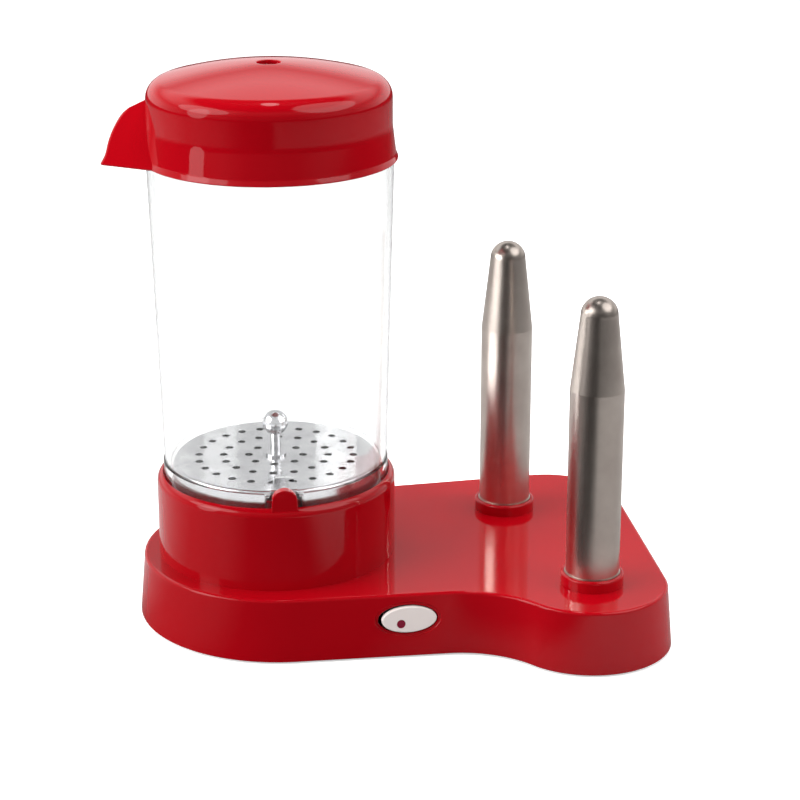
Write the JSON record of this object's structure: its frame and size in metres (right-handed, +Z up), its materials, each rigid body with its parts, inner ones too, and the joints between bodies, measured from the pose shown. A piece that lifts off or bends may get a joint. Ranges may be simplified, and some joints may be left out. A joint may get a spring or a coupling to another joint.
{
  "type": "hot dog toaster",
  "caption": "Hot dog toaster with a clear steam chamber and domed lid on a round tower, and heated spikes for buns on one glossy base plate.",
  "frame": {"origin": "middle of the plan's bounding box, on the table the feet stand on", "axes": "+Z up; +X from the tower towards the spikes, to the right seen from the front; -Y is the front, with the switch"},
  "size_m": [0.2629, 0.1821, 0.2664],
  "materials": {
    "red_shell": "high gloss moulded ABS",
    "red_cover": "fine grained moulded ABS",
    "clear_wall": "clear, polished, moulded polycarbonate",
    "silicone": "satin silicone",
    "dark_rubber": "matt rubber",
    "spike_steel": "satin stainless, drawn tube",
    "sheet_steel": "satin stainless sheet",
    "zinc_steel": "zinc plated",
    "element_steel": "heat-darkened steel sheath",
    "aluminium": "pressed, matt",
    "white_rocker": "gloss white moulded nylon",
    "maroon_dot": "satin printed-in insert",
    "black_nylon": "satin moulded nylon",
    "cream_block": "satin moulded polyamide",
    "brass": "plain, turned"
  },
  "bodies": {
    "base": {"base_shell": "red_shell", "chamber_gasket": "silicone", "bottom_cover": "red_cover", "cover_screws": "zinc_steel", "rubber_feet": "dark_rubber", "heating_dish": "sheet_steel", "ring_element": "element_steel", "clamp_yoke": "zinc_steel", "yoke_nut": "zinc_steel", "thermostat": "black_nylon", "thermal_fuse": "aluminium", "spike_bracket": "zinc_steel", "bracket_screws": "zinc_steel", "rear_spike": "spike_steel", "front_spike": "spike_steel", "rear_collar": "red_shell", "front_collar": "red_shell", "rear_heating_rod": "element_steel", "front_heating_rod": "element_steel", "switch_housing": "black_nylon", "rocker_pin": "zinc_steel", "switch_tabs": "brass", "cord_grommet": "dark_rubber", "cord_clamp": "black_nylon", "clamp_screws": "zinc_steel", "terminal_block": "cream_block", "block_terminals": "brass"},
    "chamber": {"steam_chamber": "clear_wall"},
    "lid": {"lid_shell": "red_shell"},
    "rack": {"rack_plate": "sheet_steel", "lifting_knob": "sheet_steel"},
    "rocker": {"switch_rocker": "white_rocker", "rocker_dot": "maroon_dot"}
  },
  "joints": [
    {"name": "chamber_lift", "type": "slide", "parent": "base", "child": "chamber", "axis": [0, 0, 1], "range_m": [0, 0.16]},
    {"name": "lid_lift", "type": "slide", "parent": "chamber", "child": "lid", "axis": [0, 0, 1], "range_m": [0, 0.06]},
    {"name": "rack_lift", "type": "slide", "parent": "base", "child": "rack", "axis": [0, 0, 1], "range_m": [0, 0.14]},
    {"name": "switch_rock", "type": "hinge", "parent": "base", "child": "rocker", "pos_m": [0.00662, -0.06211, 0.01838], "axis": [-0.0114, 0.0864, 0.9962], "range_deg": [-10, 0]}
  ]
}
